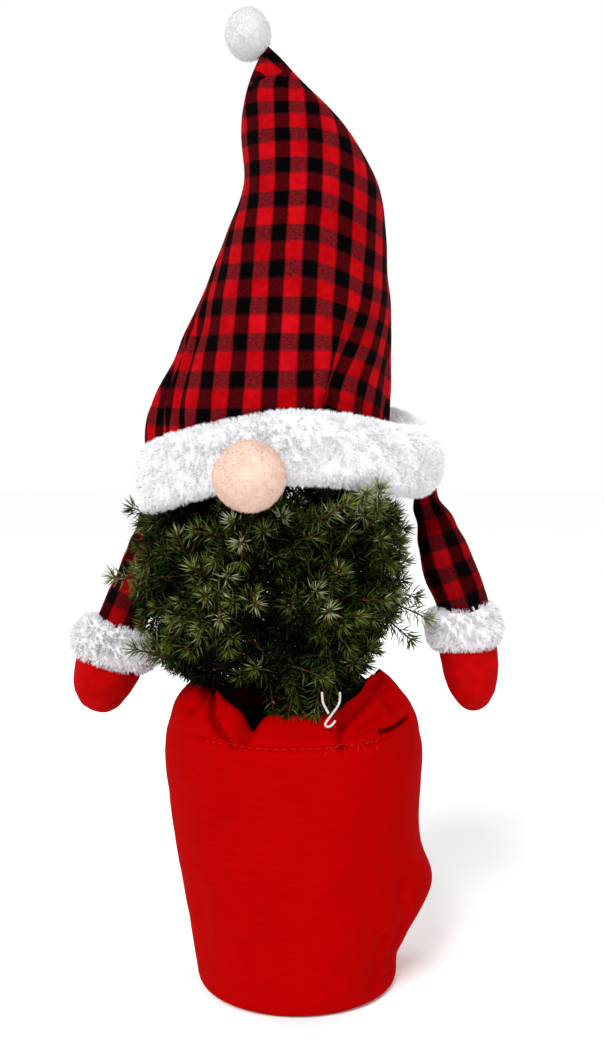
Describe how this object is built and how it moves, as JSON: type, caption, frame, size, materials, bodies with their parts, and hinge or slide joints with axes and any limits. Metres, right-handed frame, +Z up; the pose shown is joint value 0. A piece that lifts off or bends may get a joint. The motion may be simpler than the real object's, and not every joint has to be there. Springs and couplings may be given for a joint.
{
  "type": "potted dwarf spruce dressed as a christmas gnome",
  "caption": "Small potted spruce dressed as a gnome: tall check-cloth hat with fur brim and pompom, round nose, stuffed arms with mittens, and a red cloth pot cover.",
  "frame": {"origin": "middle of the pot cover's flat underside, where it stands", "axes": "+Z up, +X to the right and -Y towards someone who faces the gnome's nose"},
  "size_m": [0.305, 0.2425, 0.6789],
  "materials": {
    "pot_plastic": "matte black nursery pot",
    "potting_mix": "loose dark bark and peat",
    "red_cover": "plain woven cloth, matte",
    "bark": "rough grey-brown bark",
    "spruce_green": "dense stiff needles, slight gloss",
    "check_cloth": "brushed red and black buffalo check",
    "white_fur": "short fluffy pile",
    "peach_felt": "soft mottled felt",
    "red_fleece": "soft brushed fleece"
  },
  "bodies": {
    "root": {"bough_lower_1": "bark", "bough_lower_2": "bark", "bough_lower_3": "bark", "bough_lower_4": "bark", "bough_lower_5": "bark", "bough_middle_1": "bark", "bough_middle_2": "bark", "bough_middle_3": "bark", "bough_middle_4": "bark", "bough_middle_5": "bark", "bough_middle_6": "bark", "cuff_left": "white_fur", "cuff_right": "white_fur", "foliage_hat_1": "spruce_green", "foliage_hat_2": "spruce_green", "foliage_hat_3": "spruce_green", "foliage_lower_1": "spruce_green", "foliage_lower_2": "spruce_green", "foliage_lower_3": "spruce_green", "foliage_lower_4": "spruce_green", "foliage_lower_5": "spruce_green", "foliage_middle_1": "spruce_green", "foliage_middle_2": "spruce_green", "foliage_middle_3": "spruce_green", "foliage_middle_4": "spruce_green", "foliage_middle_5": "spruce_green", "foliage_middle_6": "spruce_green", "foliage_top": "spruce_green", "foliage_upper_1": "spruce_green", "foliage_upper_2": "spruce_green", "foliage_upper_3": "spruce_green", "foliage_upper_4": "spruce_green", "foliage_upper_5": "spruce_green", "hat": "check_cloth", "hat_brim": "white_fur", "mitten_left": "red_fleece", "mitten_right": "red_fleece", "nose": "peach_felt", "pompom": "white_fur", "pot": "pot_plastic", "pot_cover": "red_cover", "potting_mix": "potting_mix", "sleeve_left": "check_cloth", "sleeve_right": "check_cloth", "trunk": "bark"}
  },
  "joints": []
}
